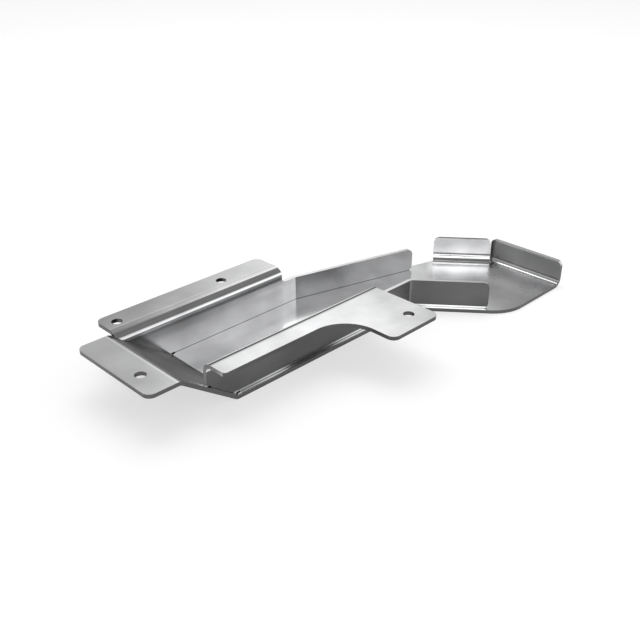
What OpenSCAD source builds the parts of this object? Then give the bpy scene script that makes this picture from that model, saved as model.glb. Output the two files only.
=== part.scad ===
// Guard plate: a shallow open channel made of three folded sheets that are welded together.
// A bottom plate carries two upright rails. Its left end climbs over a sloping web to a fixing tab, and its
// right end turns aside and ends in two ears. Each rail has a horizontal flange with its fixing holes.
// Plan view: X runs along the channel from the foot of the web, Y runs from the outer face of the front rail
// to the back, and Z is up from the underside of the bottom plate. The finished part is centred on X and Y.

/* [Sheet] */
// Thickness of the sheet that all three pieces are cut from
sheet_t = 3; // [2:0.5:4]
// Inside radius of every bend
bend_r = 4.5; // [3:0.5:6]
// Diameter of the fixing holes, a clearance hole for M8
hole_d = 8.2; // [5:0.5:10]

/* [Channel] */
// Clear width between the two rails
channel_w = 71.5; // [55:1:100]
// Height of the flanges' top faces above the bottom plate
rail_h = 35; // [33:1:60]
// Width of bottom plate that shows past each rail
ledge_w = 3; // [1:0.5:8]

/* [Left tab] */
// Slope of the web between the bottom plate and the tab
web_angle = 35.5; // [25:0.5:60]
// Length of the tab from the top of the web to its end
tab_len = 26; // [20:0.5:50]
// Radius of the tab's two corners
tab_corner_r = 6; // [1:0.5:10]
// Distance of the tab's hole from the tab's end
tab_hole_end = 11.5; // [8:0.5:15]
// Distance of the tab's hole from the tab's front edge
tab_hole_front = 24.5; // [10:0.5:60]

/* [Right end] */
// Length of the bottom plate from the foot of the web to the outer face of the end ear
plate_len = 311; // [300:0.5:340]
// Distance of the free front edge of the right end in front of the front rail
end_reach = 64; // [60:0.5:72]
// Width of the turned part from its front edge to the outer face of the side ear
turned_w = 101; // [90:1:105]
// Radius of the large front corner of the right end
end_corner_r = 35; // [5:1:50]
// Radius in the inner corner where the front edge turns aside
turn_inner_r = 5; // [1:0.5:10]

/* [Ears] */
// Height of the two ears above the bottom plate
ear_h = 20.5; // [15:0.5:40]
// Length of the side ear along its bend
side_ear_len = 51; // [30:0.5:52]
// Radius of the ears' top corners
ear_corner_r = 5; // [1:0.5:8]
// Distance of the side ear from the corner of the plate
side_ear_inset = 0.3; // [0.2:0.1:3]
// Gap between the two ears where they nearly meet
ear_gap = 0.6; // [0.3:0.1:1.5]
// Radius of the small relief hole where the two ear bends meet
relief_r = 0.8; // [0.8:0.1:2]

/* [Back rail] */
// Distance of the flange's left end in front of the foot of the web
back_start = 43.5; // [20:0.5:44]
// Distance of the flange's right end behind the foot of the web
back_flange_end = 109; // [80:0.5:112]
// Width of the back flange from the rail's inner face to its free edge
back_flange_w = 26; // [20:0.5:50]
// Distance of the crease in the back rail from the foot of the web
back_crease = 127.5; // [123:0.5:140]
// Angle that the back rail turns at its crease
back_angle = 15.3; // [5:0.1:15.6]
// Length of the back rail past its crease
back_turned_len = 117; // [60:0.5:125]
// Height of the lower part of the back rail
back_low_h = 20; // [12:0.5:24]
// Distance of the left hole of the back flange from the flange's left end
back_hole_start = 10.5; // [8:0.5:20]
// Distance between the two holes of the back flange
back_hole_spacing = 94.5; // [50:0.5:120]
// Distance of the back flange's holes from its free edge
back_hole_edge = 12; // [7:0.5:13]
// Radius of the back flange's corners
back_corner_r = 6; // [1:0.5:8]

/* [Front rail] */
// Distance of the rail's left end in front of the foot of the web
front_start = 23.5; // [5:0.5:35]
// Distance of the crease in the front rail from the foot of the web
front_crease = 186; // [165:0.5:190]
// Angle that the front rail turns at its crease
front_angle = 50; // [40:0.5:52]
// Length of the front rail past its crease
front_turned_len = 63; // [40:0.5:66]
// Height of the lower part of the front rail
front_low_h = 23; // [12:0.5:24.5]
// Width of the narrow part of the front flange, past the rail's outer face
front_flange_w = 19.5; // [12:0.5:35]
// Distance of the wide tab's left edge from the foot of the web
front_tab_start = 87.5; // [60:0.5:100]
// Distance of the wide tab's right edge from the foot of the web
front_tab_end = 137.5; // [115:0.5:150]
// Reach of the wide tab past the rail's outer face
front_tab_reach = 66; // [50:0.5:80]
// Radius of the hollow that blends the narrow part into the wide tab
front_blend_r = 28; // [5:1:30]
// Distance of the tab's hole from the tab's right edge
front_hole_side = 15.5; // [8:0.5:25]
// Distance of the tab's hole from the tab's front edge
front_hole_edge = 16; // [8:0.5:30]
// Radius of the wide tab's corners
front_tab_corner_r = 6; // [1:0.5:12]
// Radius of the corner at the left end of the front flange
front_corner_r = 3; // [1:0.5:8]

/* [Rail ends] */
// Extra length of each wall past the end of its flange, taken up across the bend
back_run_out = 3.5; // [0:0.5:6]
// The same on the front rail
front_run_out = 6.5; // [0:0.5:10]
// Radius in the step from the full height down to the low wall
step_r = 4; // [1:0.5:6]
// Radius of the top corner at each rail's right end
end_top_r = 5.5; // [1:0.5:8]
// Radius of the bottom corner at each rail's right end
end_bottom_r = 4; // [0.5:0.5:6]
// Gap between the rails' slanted lower edges and the web
web_gap = 0.2; // [0.1:0.1:1]
// Length of the low notches at both ends of the rails' slanted lower edges
notch_len = 4.6; // [3:0.2:6]
// Height of those notches
notch_h = 0.9; // [0.8:0.1:1.4]

/* [Hidden] */
$fn = 96;

outer_r = bend_r + sheet_t;
// How far a cutting shape runs past what it cuts, and how far a rounding arc reaches past its tangent points
past = 1;
graze = 0.02;

// Heights
plate_top = sheet_t;
flange_top = plate_top + rail_h;
flange_under = flange_top - sheet_t;
// The tab's top face is level with the flanges' undersides
tab_top = flange_under;
bend_start_h = rail_h - outer_r;

// The foot and the top of the web, as the corners that its top face makes with the plate and the tab
web_rise = tab_top - plate_top;
web_run = web_rise / tan(web_angle);
web_mitre = sheet_t * tan(web_angle / 2);
// Each notch is an arc over its length, with this radius, that rises by its height
notch_r = (notch_len * notch_len / 4 + notch_h * notch_h) / (2 * notch_h);

// Faces of the rails and edges of the bottom plate
back_face = sheet_t + channel_w;
plate_front = -ledge_w;
plate_back = back_face + sheet_t + ledge_w;
plate_w = plate_back - plate_front;
back_edge = back_face + back_flange_w;
front_edge = -front_tab_reach;

// Corners of the creases on the faces that look to the front
back_corner = [back_crease, back_face];
front_corner = [front_crease, 0];

// A unit vector at a heading in the plan, and the unit vector square to it on its left
function along(heading) = [cos(heading), sin(heading)];
function left_of(heading) = [-sin(heading), cos(heading)];
// Where the line through p at heading a meets the line through q at heading b
function meet(p, a, q, b) =
    let (d = q - p, n = left_of(b)) p + along(a) * (d * n) / (along(a) * n);

// Outline of the flat bottom plate
turned_front = front_corner - ledge_w * left_of(-front_angle);
turned_back = back_corner + (sheet_t + ledge_w) * left_of(-back_angle);
side_bend = turned_front + (turned_w - outer_r) * left_of(-front_angle);
end_bend_x = plate_len - outer_r;
inner_turn = meet([0, plate_front], 0, turned_front, -front_angle);
end_front = meet(turned_front, -front_angle, [0, -end_reach], 0);
ears_meet = meet(side_bend, -front_angle, [end_bend_x, 0], 90);
side_ear_start = meet(turned_back, -back_angle, side_bend, -front_angle);
side_ear_end = side_ear_start + (side_ear_inset + side_ear_len) * along(-front_angle);
// The end ear runs from the free front edge until its inner face is the gap away from the side ear's end, and
// a little past that, where the gap trims its inner corner
end_ear_inner = plate_len - sheet_t - side_ear_end.x;
end_ear_stop = side_ear_end.y + (end_ear_inner * cos(front_angle) - ear_gap) / sin(front_angle) + past / 2;
outer_turn = meet([0, plate_back], 0, turned_back, -back_angle);

// The part is centred on its overall length and width
tab_end = -web_run - tab_len;
centre = [(tab_end + plate_len) / 2, (front_edge + back_edge) / 2];

// What lies between a corner at p, whose sides leave it at headings a and b, and the arc of radius r that
// touches both sides. It rounds an outer corner when it is cut away and fills an inner one when it is added.
module corner_piece(p, a, b, r) {
    half = acos(along(a) * along(b)) / 2;
    middle = (along(a) + along(b)) / norm(along(a) + along(b));
    arc_centre = p + middle * r / sin(half);
    touch_a = p + along(a) * r / tan(half);
    touch_b = p + along(b) * r / tan(half);
    beyond = 1 + past / r;
    difference() {
        polygon([
            arc_centre, arc_centre + beyond * (touch_a - arc_centre),
            arc_centre + beyond * (p - arc_centre), arc_centre + beyond * (touch_b - arc_centre)
        ]);
        translate(arc_centre) circle(r + graze);
    }
}

// The flat bottom plate, from just past the foot of the web to the two ear bends
module plate_outline() {
    difference() {
        union() {
            polygon([
                [outer_r, plate_front], inner_turn, end_front, [end_bend_x, -end_reach],
                ears_meet, side_ear_start, outer_turn, [outer_r, plate_back]
            ]);
            corner_piece(inner_turn, 180, -front_angle, turn_inner_r);
        }
        corner_piece(end_front, 180 - front_angle, 0, end_corner_r);
    }
}

// The section along X of the plate's left end, the web and the tab
module web_section() {
    up = 180 - web_angle;
    down = -web_angle;
    foot = [0, plate_top];
    foot_under = [-web_mitre, 0];
    top = [-web_run, tab_top];
    top_under = [-web_run - web_mitre, tab_top - sheet_t];
    difference() {
        union() {
            polygon([
                [2 * outer_r, plate_top], foot, top, [tab_end, tab_top],
                [tab_end, tab_top - sheet_t], top_under, foot_under, [2 * outer_r, 0]
            ]);
            corner_piece(foot, 0, up, bend_r);
            corner_piece(top_under, 180, down, bend_r);
        }
        corner_piece(foot_under, 0, up, outer_r);
        corner_piece(top, 180, down, outer_r);
    }
}

module web_and_tab() {
    difference() {
        translate([0, plate_back, 0]) rotate([90, 0, 0]) linear_extrude(plate_w) web_section();
        translate([0, 0, tab_top - sheet_t - past]) linear_extrude(sheet_t + 2 * past) {
            corner_piece([tab_end, plate_front], 0, 90, tab_corner_r);
            corner_piece([tab_end, plate_back], 0, -90, tab_corner_r);
            translate([tab_end + tab_hole_end, plate_front + tab_hole_front]) circle(d = hole_d);
        }
    }
}

// The section of an ear and of the plate's edge that it is bent up from
module ear_section() {
    difference() {
        union() {
            polygon([
                [-outer_r, 0], [outer_r, 0], [outer_r, plate_top + ear_h],
                [bend_r, plate_top + ear_h], [bend_r, plate_top], [-outer_r, plate_top]
            ]);
            corner_piece([bend_r, plate_top], 180, 90, bend_r);
        }
        corner_piece([outer_r, 0], 180, 90, outer_r);
    }
}

// An ear of a given length along its bend, which runs along the local Y
module ear(length) {
    height = plate_top + ear_h;
    difference() {
        translate([0, length, 0]) rotate([90, 0, 0]) linear_extrude(length) ear_section();
        translate([bend_r - past, 0, 0]) rotate([90, 0, 90]) linear_extrude(sheet_t + 2 * past) {
            corner_piece([0, height], 0, -90, ear_corner_r);
            corner_piece([length, height], 180, -90, ear_corner_r);
        }
    }
}

// What is cleared beside the side ear, so that the end ear stops just short of it
module ear_clearance() {
    reach = 4 * outer_r;
    translate(side_ear_end) rotate([0, 0, -front_angle]) translate([-reach, 0, -past])
        cube([reach + ear_gap, reach, plate_top + ear_h + 2 * past]);
}

module bottom_plate() {
    color("silver") translate(-centre) difference() {
        union() {
            linear_extrude(sheet_t) plate_outline();
            web_and_tab();
            translate(side_ear_end) rotate([0, 0, 90 - front_angle]) ear(side_ear_len);
            difference() {
                translate([end_bend_x, -end_reach, 0]) ear(end_reach + end_ear_stop);
                ear_clearance();
            }
        }
        translate([ears_meet.x, ears_meet.y, -past]) cylinder(r = relief_r, h = outer_r + past);
    }
}

// The bend that joins a wall to its flange, from x = start to x = end. The wall stands at the local y = 0 and
// the flange goes towards +Y.
module top_bend(start, end) {
    translate([start, outer_r, flange_top - outer_r]) rotate([90, 0, 90]) rotate([0, 0, 90])
        rotate_extrude(angle = 90) translate([bend_r, 0]) square([sheet_t, end - start]);
}

// What is cut from a top bend so that its end runs out slantwise, from the flange's end at x = start to the
// wall's end at x = start + run_out
module run_out_cut(start, run_out) {
    across = outer_r * sqrt(2);
    reach = run_out + past;
    translate([start, outer_r, flange_top]) rotate([-135, 0, 0]) translate([0, 0, -across])
        linear_extrude(2 * across)
            polygon([[0, 0], [reach, 0], [reach, across], [run_out + past / 4, across]]);
}

// The straight wall of a rail, in its own plane: full height up to the step and low past it
module wall_outline(start, step, end, low_h) {
    fillet_r = min(step_r, bend_start_h - low_h);
    translate([-start, 0]) square([start + step, bend_start_h]);
    square([end, low_h]);
    if (fillet_r > 0) corner_piece([step, low_h], 90, 0, fillet_r);
}

// The plan of a rail's low wall: straight along X to the crease, then turned to the front
module creased_strip(crease, turn, turned_len) {
    inner = [crease, 0];
    end = inner + turned_len * along(-turn);
    across = sheet_t * left_of(-turn);
    outer = meet([0, sheet_t], 0, inner + across, -turn);
    difference() {
        union() {
            polygon([[0, 0], inner, end, end + across, outer, [0, sheet_t]]);
            corner_piece(inner, 180, -turn, bend_r);
        }
        corner_piece(outer, 180, -turn, outer_r);
    }
}

// A rail's whole wall. Its front face is at the local y = 0.
module rail_wall(start, step, crease, turn, turned_len, low_h) {
    end = [crease, 0] + turned_len * along(-turn);
    translate([0, 0, plate_top]) {
        translate([0, sheet_t, 0]) rotate([90, 0, 0])
            linear_extrude(sheet_t) wall_outline(start, step, crease - outer_r, low_h);
        difference() {
            linear_extrude(low_h) creased_strip(crease, turn, turned_len);
            translate(end) rotate([0, 0, -turn]) translate([0, sheet_t + past, 0]) rotate([90, 0, 0])
                linear_extrude(sheet_t + 2 * past) {
                    corner_piece([0, low_h], 180, -90, end_top_r);
                    corner_piece([0, 0], 180, 90, end_bottom_r);
                }
        }
    }
}

// What is cut from a rail so that it clears the web, from y = 0 to y = width. The two notches are at the foot
// of the web and at a given distance along X from there, and each starts a little to the left of that.
module web_clearance(width, notch_x) {
    line_x = web_gap / sin(web_angle);
    run = web_run + tab_len;
    translate([0, width, 0]) rotate([90, 0, 0]) linear_extrude(width) {
        polygon([
            [line_x + past / tan(web_angle), plate_top - past],
            [line_x - run, plate_top + run * tan(web_angle)],
            [line_x - run, plate_top - past]
        ]);
        middle = [notch_len / 2 - past / 2, notch_h - notch_r];
        translate([line_x, plate_top]) translate(middle) circle(notch_r);
        translate([line_x - notch_x, plate_top + notch_x * tan(web_angle)]) rotate(-web_angle)
            translate(middle) circle(notch_r);
    }
}

module back_flange_outline() {
    left = -back_start;
    right = back_flange_end;
    hole_y = back_flange_w - back_hole_edge;
    difference() {
        translate([left, outer_r]) square([right - left, back_flange_w - outer_r]);
        corner_piece([left, back_flange_w], 0, -90, back_corner_r);
        corner_piece([right, back_flange_w], 180, -90, back_corner_r);
        for (i = [0, 1])
            translate([left + back_hole_start + i * back_hole_spacing, hole_y]) circle(d = hole_d);
    }
}

module back_rail() {
    wall_end = back_flange_end + back_run_out;
    color("lightgray") translate(-centre) translate([0, back_face, 0]) difference() {
        union() {
            rail_wall(back_start, wall_end, back_crease, back_angle, back_turned_len, back_low_h);
            difference() {
                top_bend(-back_start, wall_end);
                run_out_cut(back_flange_end, back_run_out);
            }
            translate([0, 0, flange_under]) linear_extrude(sheet_t) back_flange_outline();
        }
        translate([0, -past, 0]) web_clearance(outer_r + past, bend_start_h / tan(web_angle));
    }
}

module front_flange_outline() {
    left = -front_start;
    bend = sheet_t - outer_r;
    narrow = -front_flange_w;
    hole = [front_tab_end - front_hole_side, front_edge + front_hole_edge];
    difference() {
        union() {
            translate([left, narrow]) square([front_tab_end - left, bend - narrow]);
            translate([front_tab_start, front_edge])
                square([front_tab_end - front_tab_start, bend - front_edge]);
            corner_piece([front_tab_start, narrow], 180, -90, front_blend_r);
        }
        corner_piece([left, narrow], 0, 90, front_corner_r);
        corner_piece([front_tab_start, front_edge], 0, 90, front_tab_corner_r);
        corner_piece([front_tab_end, front_edge], 180, 90, front_tab_corner_r);
        translate(hole) circle(d = hole_d);
    }
}

module front_rail() {
    wall_end = front_tab_end + front_run_out;
    color("whitesmoke") translate(-centre) difference() {
        union() {
            rail_wall(front_start, wall_end, front_crease, front_angle, front_turned_len, front_low_h);
            translate([0, sheet_t, 0]) mirror([0, 1, 0]) difference() {
                top_bend(-front_start, wall_end);
                run_out_cut(front_tab_end, front_run_out);
            }
            translate([0, 0, flange_under]) linear_extrude(sheet_t) front_flange_outline();
        }
        translate([0, -past, 0]) web_clearance(sheet_t + 2 * past, front_start);
    }
}

bottom_plate();
back_rail();
front_rail();
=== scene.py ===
import math
import bpy
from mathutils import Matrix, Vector


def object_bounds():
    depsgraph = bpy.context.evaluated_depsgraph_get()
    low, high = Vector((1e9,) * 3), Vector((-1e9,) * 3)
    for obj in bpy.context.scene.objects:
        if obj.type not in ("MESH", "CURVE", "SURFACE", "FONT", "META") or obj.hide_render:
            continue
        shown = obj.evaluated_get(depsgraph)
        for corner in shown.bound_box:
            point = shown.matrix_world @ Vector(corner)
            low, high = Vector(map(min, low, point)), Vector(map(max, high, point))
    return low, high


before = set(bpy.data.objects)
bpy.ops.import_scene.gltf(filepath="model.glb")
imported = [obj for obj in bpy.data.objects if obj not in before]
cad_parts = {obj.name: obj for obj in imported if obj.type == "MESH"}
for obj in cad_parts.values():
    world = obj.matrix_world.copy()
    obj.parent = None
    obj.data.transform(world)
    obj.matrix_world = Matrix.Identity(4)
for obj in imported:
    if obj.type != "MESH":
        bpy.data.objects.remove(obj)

cad_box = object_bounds()
scene = bpy.context.scene

# The camera stands at the photograph's viewing angle: in front of the left end, looking down at 28.5 degrees.
# Its place, direction and lens were solved from the straight edges and holes in the photograph.
CAMERA_AT = (-0.42583, -0.40649, 0.32752)
CAMERA_HEADING = math.radians(45.1277)
CAMERA_PITCH = math.radians(28.506)
SENSOR_MM = 36.0
FRAME_PX = 640
FOCAL_PX = 854.98
camera_data = bpy.data.cameras.new("camera")
camera_data.sensor_width = SENSOR_MM
camera_data.lens = FOCAL_PX / FRAME_PX * SENSOR_MM
camera = bpy.data.objects.new("camera", camera_data)
camera.location = CAMERA_AT
camera.rotation_euler = (math.pi / 2 - CAMERA_PITCH, 0, CAMERA_HEADING - math.pi / 2)
scene.collection.objects.link(camera)
scene.camera = camera


# The bottom plate is one folded sheet of 3 mm steel, cut, bent and polished to a bright satin on the side that is
# the inside of the guard. The other side and the cut edges are duller, and they carry painted shade: a dark tone
# that stands in for the dark images they would mirror. The satin mirrors the room and the part's own faces, and
# the tones that are set along each zone are painted reflections that stand in for those images. Faint clouds
# drift over them.
class Nodes:
    """Short names for the nodes that are used over and over."""

    def __init__(self, tree):
        self.nodes, self.links = tree.nodes, tree.links

    def put(self, socket, value):
        if isinstance(value, (int, float, tuple)):
            socket.default_value = value
        else:
            self.links.new(value, socket)

    def calc(self, kind, *values):
        node = self.nodes.new("ShaderNodeMath")
        node.operation = kind
        for socket, value in zip(node.inputs, values):
            self.put(socket, value)
        return node.outputs[0]

    def along(self, vector, way):
        """How far a vector points along a direction."""
        dot = self.nodes.new("ShaderNodeVectorMath")
        dot.operation = "DOT_PRODUCT"
        dot.inputs[1].default_value = way
        self.links.new(vector, dot.inputs[0])
        return dot.outputs["Value"]

    def switch(self, mask, off, on):
        mix = self.nodes.new("ShaderNodeMix")
        mix.data_type = "FLOAT"
        self.put(mix.inputs[0], mask)
        self.put(mix.inputs[2], off)
        self.put(mix.inputs[3], on)
        return mix.outputs[0]


class Finish(Nodes):
    """Masks and tones by place. X, Y and Z are in millimetres, from the foot of the web, the front rail's outer
    face and the plate's underside, as in part.scad. The scene's own zero is at CENTRE_X and CENTRE_Y."""
    CENTRE_X, CENTRE_Y = 120.069, 17.25

    def __init__(self, tree, offset):
        super().__init__(tree)
        self.place = self.nodes.new("ShaderNodeTexCoord").outputs["Object"]
        self.flat = self.nodes.new("ShaderNodeNewGeometry").outputs["True Normal"]
        move = self.nodes.new("ShaderNodeMapping")
        move.inputs["Location"].default_value = (offset, 0.7 * offset, 0.3 * offset)
        self.links.new(self.place, move.inputs["Vector"])
        self.moved = move.outputs["Vector"]
        self.X = self.millimetres((1, 0, 0), self.CENTRE_X)
        self.Y = self.millimetres((0, 1, 0), self.CENTRE_Y)
        self.Z = self.millimetres((0, 0, 1), 0)

    def millimetres(self, way, start):
        return self.calc("MULTIPLY_ADD", self.along(self.place, way), 1000.0, start)

    def faces(self, way, least):
        """1 where the surface faces a direction, as far as its cosine is over the given least value."""
        return self.over(self.along(self.flat, way), least)

    def over(self, value, low):
        return self.calc("GREATER_THAN", value, low)

    def under(self, value, high):
        return self.calc("LESS_THAN", value, high)

    def between(self, value, low, high):
        return self.both(self.over(value, low), self.under(value, high))

    def both(self, *masks):
        result = masks[0]
        for mask in masks[1:]:
            result = self.calc("MULTIPLY", result, mask)
        return result

    def either(self, *masks):
        result = masks[0]
        for mask in masks[1:]:
            result = self.calc("MAXIMUM", result, mask)
        return result

    def ramp(self, value, stops):
        """A value that changes straight from stop to stop, given as (where, value) pairs. A colour ramp holds no
        more than 1, so the values go in halved and come out doubled."""
        low, high = stops[0][0], stops[-1][0]
        share = self.calc("DIVIDE", self.calc("SUBTRACT", value, low), high - low)
        node = self.nodes.new("ShaderNodeValToRGB")
        elements = node.color_ramp.elements
        while len(elements) < len(stops):
            elements.new(0.5)
        for element, (where, level) in zip(elements, stops):
            element.position = (where - low) / (high - low)
            element.color = (level / 2, level / 2, level / 2, 1)
        self.links.new(share, node.inputs["Fac"])
        return self.calc("MULTIPLY", node.outputs["Color"], 2.0)

    def cloud(self, scale, low, high):
        """A soft factor that drifts between low and high, with about scale clouds to a metre."""
        noise = self.nodes.new("ShaderNodeTexNoise")
        noise.inputs["Scale"].default_value = scale
        noise.inputs["Detail"].default_value = 3
        noise.inputs["Roughness"].default_value = 0.5
        self.links.new(self.moved, noise.inputs["Vector"])
        spread = self.nodes.new("ShaderNodeMapRange")
        for socket, value in (("From Min", 0.3), ("From Max", 0.7), ("To Min", low), ("To Max", high)):
            spread.inputs[socket].default_value = value
        self.links.new(noise.outputs["Fac"], spread.inputs["Value"])
        return spread.outputs["Result"]


def satin_steel(name, offset, look):
    """Steel whose look gives its tone, its roughness and how far its shading leans upwards."""
    material = bpy.data.materials.new(name)
    material.use_nodes = True
    shader = material.node_tree.nodes["Principled BSDF"]
    shader.inputs["Metallic"].default_value = 1.0
    g = Finish(material.node_tree, offset)
    tone, rough, lean = look(g)
    tone = g.both(tone, g.cloud(26, 0.86, 1.14))
    colour = g.nodes.new("ShaderNodeCombineColor")
    for channel, share in (("Red", 0.995), ("Green", 0.998), ("Blue", 1.007)):
        g.put(colour.inputs[channel], g.calc("MINIMUM", g.both(tone, share), 1.0))
    g.put(shader.inputs["Base Color"], colour.outputs["Color"])
    g.put(shader.inputs["Roughness"], g.both(rough, g.cloud(38, 0.8, 1.25)))
    # The cut edges are lightly broken all round.
    broken = g.nodes.new("ShaderNodeBevel")
    broken.samples = 4
    broken.inputs["Radius"].default_value = 0.00025
    if lean is None:
        g.put(shader.inputs["Normal"], broken.outputs["Normal"])
        return material
    upwards = g.nodes.new("ShaderNodeCombineXYZ")
    g.put(upwards.inputs["Z"], lean)
    total, unit = g.nodes.new("ShaderNodeVectorMath"), g.nodes.new("ShaderNodeVectorMath")
    unit.operation = "NORMALIZE"
    g.put(total.inputs[0], broken.outputs["Normal"])
    g.put(total.inputs[1], upwards.outputs["Vector"])
    g.put(unit.inputs[0], total.outputs["Vector"])
    g.put(shader.inputs["Normal"], unit.outputs["Vector"])
    return material


# The second tone is painted shade for the duller side and the cut edges, in place of the dark images they would
# mirror; the first is the steel's own tone.
POLISHED, PAINTED_SHADE_TONE = 0.59, 0.12
POLISHED_ROUGH, DULL_ROUGH = 0.17, 0.3
# The side ear in plan: a point on its bend, and the direction across the bend, away from the plate
EAR_X, EAR_Y = 255.33, 58.17
EAR_OUT_X, EAR_OUT_Y = 0.766, 0.643


def plate_look(g):
    up = g.faces((0, 0, 1), 0.25)
    side_ear = g.both(g.faces((-0.77, -0.64, 0), 0.9), g.between(g.Z, 3.2, 30), g.between(g.X, 200, 400))
    end_ear = g.both(g.faces((-1, 0, 0), 0.9), g.between(g.Z, 3.2, 30), g.between(g.X, 300, 309))
    polished = g.either(up, side_ear, end_ear)
    # Painted shade on every face off the polished side
    tone = g.switch(polished, PAINTED_SHADE_TONE, POLISHED)

    # Painted reflections on the bend at the top of the web, the web and the bend at its foot; towards the back
    # rail the web is painted in shade
    top_bend = [(-50, 0.56), (-48.6, 0.62), (-47.9, 0.72), (-47, 0.74)]
    web = g.ramp(g.X, top_bend + [
        (-46.5, 0.38), (-45.5, 0.23), (-43, 0.28), (-40, 0.31), (-34, 0.31), (-28, 0.31), (-22, 0.3), (-16, 0.29),
        (-10, 0.25), (-4, 0.15), (-1, 0.2), (0.6, 0.72), (3, 0.66)])
    shaded = g.ramp(g.X, top_bend + [
        (-46.5, 0.4), (-45.5, 0.26), (-43, 0.23), (-34, 0.25), (-22, 0.33), (-10, 0.48), (-4, 0.33), (-1, 0.36),
        (0.6, 0.62), (3, 0.56)])
    web = g.switch(g.ramp(g.Y, [(48, 0), (64, 1)]), web, shaded)
    tone = g.switch(g.both(up, g.between(g.X, -50, 3), g.between(g.Y, -5, 90)), tone, web)

    # Painted reflections: the channel floor brightest along its middle, and a painted highlight at the start of
    # the ledge before the front rail
    middle = g.ramp(g.Y, [(20, 0.56), (34, 0.85), (39, 1.0), (42, 0.97), (46, 0.78), (50, 0.64), (56, 0.57)])
    middle = g.switch(g.ramp(g.X, [(96, 1), (128, 0)]), 0.56, middle)
    tone = g.switch(g.both(up, g.between(g.X, 1, 128), g.between(g.Y, 3, 60)), tone, middle)
    tone = g.switch(g.both(up, g.between(g.X, -30, 4), g.under(g.Y, 0.5)), tone, 0.95)

    # Painted reflections at the right end: brightest before the side ear, and darker where the image of the ear
    # fades
    east, north = g.calc("SUBTRACT", g.X, EAR_X), g.calc("SUBTRACT", g.Y, EAR_Y)
    across = g.calc("ADD", g.both(east, EAR_OUT_X), g.both(north, EAR_OUT_Y))
    length = g.calc("SUBTRACT", g.both(east, EAR_OUT_Y), g.both(north, EAR_OUT_X))
    image = g.ramp(across, [(-62, 0.5), (-48, 0.42), (-44, 0.38), (-38, 0.38), (-31, 0.48), (-25, 0.66),
                            (-20, 0.86), (-15, 1.0), (-11, 1.0), (-5, 1.0)])
    corner = g.ramp(g.X, [(227, 0.56), (239, 0.49), (251, 0.42), (263, 0.42), (270, 0.5), (275, 0.59), (284, 0.8),
                          (299, 0.92)])
    image = g.switch(g.ramp(length, [(14, 0), (24, 1)]), 0.56, image)
    image = g.switch(g.ramp(g.Y, [(-18, 1), (-4, 0)]), image, corner)
    tone = g.switch(g.both(up, g.over(g.X, 205), g.under(g.Z, 3.1)), tone, image)

    # Painted reflections on the side ear and its bend, by the distance across the bend low down and by height
    # further up
    bend_end = [(-0.3, 0.9), (1, 1.0), (1.6, 0.5), (2.1, 0.17), (2.8, 0.24), (3.5, 0.5)]
    left = g.ramp(across, [(-12, 0.8), (-7, 0.78), (-3.6, 0.95), (-2.6, 0.7), (-2, 0.3), (-1, 0.3)] + bend_end)
    right = g.ramp(across, [(-12, 1.0), (-9, 1.0), (-3, 1.0), (-2.3, 0.4), (-1, 0.3)] + bend_end)
    foot = g.switch(g.ramp(length, [(38, 0), (54, 1)]), left, right)
    rise = g.ramp(g.Z, [(4.6, 0.6), (5.2, 0.9), (7.3, 0.95), (7.8, 0.4), (8.1, 0.1), (8.8, 0.08), (9.3, 0.5),
                        (9.9, 0.95), (16, 1.0), (23, 1.0)])
    rise = g.both(rise, g.ramp(length, [(22, 1.0), (40, 0.92), (55, 0.82), (72, 0.82)]))
    near = g.both(polished, g.between(across, -12, 5), g.between(length, 21, 72.5))
    tone = g.switch(near, tone, g.switch(g.over(g.Z, 4.6), foot, rise))

    # Painted reflections on the top edge of the side ear, and on the cut edge at its right end
    top = g.ramp(across, [(3.4, 0.85), (4.7, 0.8), (5.1, 0.2), (6.6, 0.12)])
    tone = g.switch(g.both(up, g.over(g.Z, 23.3), g.between(length, 15, 74)), tone, top)
    right_edge = g.both(g.faces((EAR_OUT_Y, -EAR_OUT_X, 0), 0.8), g.between(across, 0, 8), g.over(length, 60))
    tone = g.switch(right_edge, tone, 0.4)

    # Painted reflections on the end ear and its bend, up to its left end
    foot = g.ramp(g.X, [(296, 0.95), (298.5, 1.0), (301, 1.0), (302.4, 0.7), (303.4, 0.6), (304.2, 0.95),
                        (305.6, 0.9)])
    rise = g.ramp(g.Z, [(4, 0.62), (4.6, 0.66), (5.6, 0.7), (6.3, 0.45), (7.1, 0.3), (8.2, 0.38), (9.4, 0.42),
                        (21.5, 0.46), (22.5, 0.8)])
    rise = g.both(rise, g.ramp(g.Y, [(-40, 0.92), (-20, 1.0), (0, 0.86)]))
    near = g.both(polished, g.between(g.X, 296, 309), g.between(g.Y, -66, 2.5))
    tone = g.switch(near, tone, g.switch(g.over(g.Z, 4), foot, rise))
    tone = g.switch(g.both(end_ear, g.over(g.Y, 2.4)), tone, 0.36)

    # The ears, the web and the plate before the end ear are less glossy than the rest.
    rough = g.switch(polished, DULL_ROUGH, POLISHED_ROUGH)
    rough = g.switch(g.both(side_ear, g.over(g.Z, 9)), rough, 0.5)
    rough = g.switch(g.both(up, g.between(g.X, -46, -1), g.over(g.Y, 2)), rough, 0.42)
    rough = g.switch(g.both(end_ear, g.over(g.Z, 9)), rough, 0.36)
    before_it = g.both(up, g.between(g.X, 255, 303), g.ramp(g.Y, [(-10, 1), (0, 0)]), g.under(g.Z, 3.1))
    rough = g.switch(before_it, rough, 0.3)
    return tone, rough, None


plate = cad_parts["bottom_plate"]
plate.data.materials.clear()
plate.data.materials.append(satin_steel("steel_plate", 0.0, plate_look))
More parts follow.
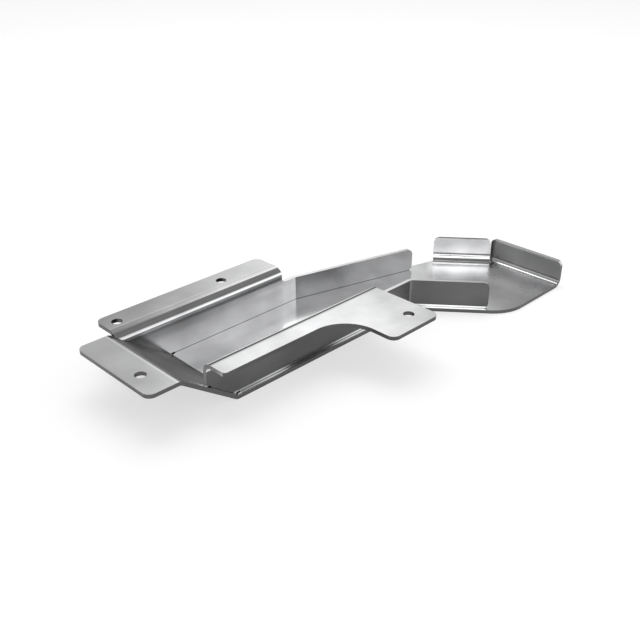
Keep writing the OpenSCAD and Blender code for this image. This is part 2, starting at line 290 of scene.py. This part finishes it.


# The back rail is a strip of the same sheet with a flange bent to the back, welded to the plate. Its bend carries
# a
# painted reflection: a dark band of the room between two bright lines, set in the tones below. The shading also
# leans upwards there, because this room's bright screen isn't quite where the photograph's was.
def back_look(g):
    up = g.faces((0, 0, 1), 0.25)
    inside = g.both(g.faces((0, -1, 0), 0.25), g.under(g.Z, 34.5))
    polished = g.either(up, inside)
    # Painted shade on every face off the polished side
    tone = g.switch(polished, PAINTED_SHADE_TONE, POLISHED)
    flanged_part = g.both(g.between(g.Y, 70, 82.2), g.between(g.X, -60, 113))

    # Painted reflections on the wall and the bend by height, with factors that change along the rail
    bend = g.ramp(g.Z, [(16, 0.56), (20, 0.52), (23, 0.44), (24.6, 0.41), (25.4, 0.37), (26, 0.27), (26.8, 0.18),
                        (27.6, 0.18), (28.4, 0.36), (29.4, 0.5), (30.4, 0.55), (31, 0.7), (32.1, 0.7),
                        (32.7, 0.28), (33.3, 0.12), (35.4, 0.105), (36, 0.17), (36.6, 0.42), (37.4, 0.35),
                        (38, 0.44)])
    wall = g.ramp(g.X, [(-40, 1.0), (-20, 0.9), (15, 0.8), (54, 0.9), (95, 1.22)])
    bend = g.switch(g.ramp(g.Z, [(17, 0), (21, 1), (25.4, 1), (26.2, 0)]), bend, g.both(bend, wall))
    painted_band_factor = g.ramp(g.X, [(-40, 1.6), (-20, 1.45), (15, 0.88), (95, 0.78)])
    bend = g.switch(g.ramp(g.Z, [(25.4, 0), (26.2, 1), (29.2, 1), (30, 0)]), bend, g.both(bend, painted_band_factor))

    # The painted upper bright line of the bend, brightest towards the right, in three steps of height
    first = g.ramp(g.X, [(-40, 0.28), (-20, 0.3), (15, 0.42), (54, 0.55), (95, 0.64)])
    second = g.ramp(g.X, [(-40, 0.26), (-20, 0.28), (15, 0.33), (54, 0.43), (95, 0.48)])
    third = g.ramp(g.X, [(-40, 0.25), (15, 0.26), (54, 0.3), (95, 0.34)])
    line = g.switch(g.ramp(g.Z, [(36.7, 0), (37.2, 1)]), first, second)
    line = g.switch(g.ramp(g.Z, [(37.4, 0), (37.9, 1)]), line, third)
    bend = g.switch(g.ramp(g.Z, [(36.38, 0), (36.6, 1)]), bend, line)

    # The flange's painted reflection, a little darker where it leaves the bend
    flange = g.ramp(g.X, [(-40, 0.5), (15, 0.47), (54, 0.49), (95, 0.53)])
    flange = g.both(flange, g.ramp(g.Y, [(79, 0.72), (81, 0.82), (83, 1.0)]))
    tone = g.switch(g.both(polished, g.over(g.Z, 37.9)), tone, flange)
    tone = g.switch(g.both(polished, g.under(g.Z, 37.9), flanged_part), tone, bend)

    # The dark joint with the plate
    tone = g.switch(g.under(g.Z, 3.4), tone, 0.25)

    # The two bright lines of the bend
    lean = g.ramp(g.Z, [(29.9, 0), (30.9, 0.7), (32.2, 0.7), (32.8, 0), (36.2, 0), (36.5, 2), (37.6, 2), (38, 0)])
    lean = g.both(lean, g.ramp(g.Z, [(33, 1), (36, 1.5)]), g.faces((0, -1, 0), 0.1), flanged_part)
    return tone, g.switch(polished, DULL_ROUGH, POLISHED_ROUGH), lean


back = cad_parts["back_rail"]
back.data.materials.clear()
back.data.materials.append(satin_steel("steel_back", 0.31, back_look))


# The front rail is a strip of the same sheet with a flange bent to the front, which widens into the tab. It is
# welded to the plate like the back rail. Its outer side carries painted shade in place of the floor's image,
# painted brighter along the joint.
def front_look(g):
    up = g.faces((0, 0, 1), 0.25)
    inside = g.both(g.faces((0, 1, 0), 0.25), g.under(g.Z, 34.5))
    polished = g.either(up, inside)
    # Painted shade on the outer side and the cut edges, a little lighter high up
    tone = g.switch(polished, g.switch(g.under(g.Z, 34.5), 0.1, 0.13), POLISHED)

    # Painted reflections on the cut edge at the left end, and a painted light line on the bend as seen from below
    end = g.ramp(g.along(g.flat, (-1, 0, 0)), [(0.9, 0.11), (0.98, 0.4), (0.998, 0.8)])
    left_end = g.both(g.calc("SUBTRACT", 1, polished), g.under(g.X, -14))
    tone = g.switch(left_end, tone, g.calc("MAXIMUM", tone, end))
    below = g.both(g.faces((0, -0.6, -0.8), 0.62), g.between(g.Z, 30, 36), g.over(g.Y, -6))
    tone = g.switch(below, tone, 0.8)

    # The outer wall's painted shade, paler towards the crease
    wall = g.ramp(g.X, [(150, 0.1), (184, 0.2)])
    outer = g.both(g.faces((0, -1, 0), 0.9), g.between(g.X, 150, 186.5), g.between(g.Z, 4.7, 34))
    tone = g.switch(outer, tone, wall)

    # The bend into the flange: a painted dark line, then a painted bright one helped by a lean of the shading
    bend_top = g.both(up, g.between(g.Z, 30, 40))
    bend = g.ramp(g.Y, [(-7, 0.56), (-6.3, 0.5), (-5.3, 0.42), (-4.8, 0.2), (-4.4, 0.1), (-3.9, 0.07),
                        (-3.2, 0.08), (-2.8, 0.4), (-2.3, 0.66), (-1, 0.66)])
    tone = g.switch(bend_top, tone, bend)
    fade = g.ramp(g.X, [(-40, 0.9), (90, 1.0), (130, 0.6), (160, 0.15)])
    lean = g.both(g.ramp(g.Y, [(-3.1, 0), (-2.5, 1.8)]), fade, 4.0, bend_top)

    # Painted reflections on the foot of the outer wall, and the joint with the plate
    ground = g.both(g.faces((-0.1, -1, 0), 0.3), g.under(g.Z, 4.7))
    turned = g.over(g.X, 186)
    strip = g.ramp(g.X, [(-20, 0.3), (10, 0.35), (30, 0.56), (120, 0.6), (150, 0.85), (186, 0.85)])
    tone = g.switch(ground, tone, g.switch(turned, strip, 0.9))
    joint = g.switch(turned, g.ramp(g.X, [(-4, 0.45), (6, 0.15)]), 0.4)
    tone = g.switch(g.under(g.Z, 3.4), tone, joint)
    return tone, g.switch(g.either(polished, ground), DULL_ROUGH, POLISHED_ROUGH), lean


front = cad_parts["front_rail"]
front.data.materials.clear()
front.data.materials.append(satin_steel("steel_front", 0.67, front_look))

# The floor is plain and pale. The camera and the metal see it paler than the lamp alone makes it, with the
# object's shadow kept.
FLOOR_GAP = 0.0002
FLOOR_GLOW = 0.6
bpy.ops.mesh.primitive_plane_add(size=14, location=(0, 0, cad_box[0][2] - FLOOR_GAP))
floor = bpy.context.object
floor.name = "floor"
paint = bpy.data.materials.new("floor_paint")
paint.use_nodes = True
n = Nodes(paint.node_tree)
matt = n.nodes["Principled BSDF"]
matt.inputs["Base Color"].default_value = (0.9, 0.9, 0.9, 1)
matt.inputs["Roughness"].default_value = 0.9
matt.inputs["Specular IOR Level"].default_value = 0.0
ray = n.nodes.new("ShaderNodeLightPath")
seen = n.calc("MAXIMUM", ray.outputs["Is Camera Ray"], ray.outputs["Is Glossy Ray"])
glow = n.nodes.new("ShaderNodeEmission")
glow.inputs["Strength"].default_value = 1.0
blend = n.nodes.new("ShaderNodeMixShader")
n.put(blend.inputs[0], n.calc("MULTIPLY", seen, FLOOR_GLOW))
n.put(blend.inputs[1], matt.outputs[0])
n.put(blend.inputs[2], glow.outputs[0])
n.put(n.nodes["Material Output"].inputs["Surface"], blend.outputs[0])
floor.data.materials.append(paint)

# The studio is a soft room: paler to the camera's right, darker to its left and overhead, with bright screens
# beyond the object, behind the camera and to both sides. The camera itself sees a plain white room.
world = bpy.data.worlds.new("studio")
scene.world = world
world.use_nodes = True
w = Nodes(world.node_tree)
sky = w.nodes["Background"]
direction = w.nodes.new("ShaderNodeTexCoord").outputs["Generated"]


def towards(heading, elevation):
    """How far a direction points towards a heading and an elevation in degrees, from -1 to 1."""
    h, e = math.radians(heading), math.radians(elevation)
    return w.along(direction, (math.cos(e) * math.cos(h), math.cos(e) * math.sin(h), math.sin(e)))


def screen(heading, elevation, spread, level, edge=1.0):
    """A bright patch of the room that fades out over about spread degrees, more suddenly the higher its edge."""
    sharp = 1 / (1 - math.cos(math.radians(spread)))
    fall = w.calc("MULTIPLY", w.calc("SUBTRACT", 1, towards(heading, elevation)), sharp)
    fall = w.calc("MULTIPLY", w.calc("POWER", w.calc("MAXIMUM", fall, 0), edge), -1)
    return w.calc("MULTIPLY", w.calc("POWER", math.e, fall), level)


sideways = w.calc("MULTIPLY_ADD", towards(-44.9, 0), 0.16, 0.66)
overhead = w.calc("MULTIPLY_ADD", w.calc("MAXIMUM", towards(0, 90), 0), -0.6, 1.0)
room = w.calc("MULTIPLY", sideways, overhead)
ahead = screen(45.5, 33, 10.3, 1.25, 2)
beside_it = screen(75, 34, 15, 0.3)
behind = screen(213, 27, 18, 3.0)
left = screen(150, 20, 18, 0.2)
right = screen(-45, 30, 22, 1.15)
above = screen(0, 90, 20, 0.5)
high_left = screen(96, 52, 12, 3.4, 2)
for patch in (ahead, beside_it, behind, left, right, above, high_left):
    room = w.calc("ADD", room, patch)
is_camera = w.nodes.new("ShaderNodeLightPath").outputs["Is Camera Ray"]
w.put(sky.inputs["Strength"], w.switch(is_camera, room, 1.0))
sky.inputs["Color"].default_value = (1, 1, 1, 1)

# The main soft box hangs high behind the object. Metal doesn't show it.
BOX_AT = (0.42, 0.42, 1.65)
box_data = bpy.data.lights.new("high_box", "AREA")
box_data.shape = "RECTANGLE"
box_data.size = box_data.size_y = 1.3
box_data.energy = 16
box = bpy.data.objects.new("high_box", box_data)
box.location = BOX_AT
box.rotation_euler = (-Vector(BOX_AT)).to_track_quat("-Z", "Y").to_euler()
box.visible_glossy = False
scene.collection.objects.link(box)

scene.view_settings.view_transform = "Standard"
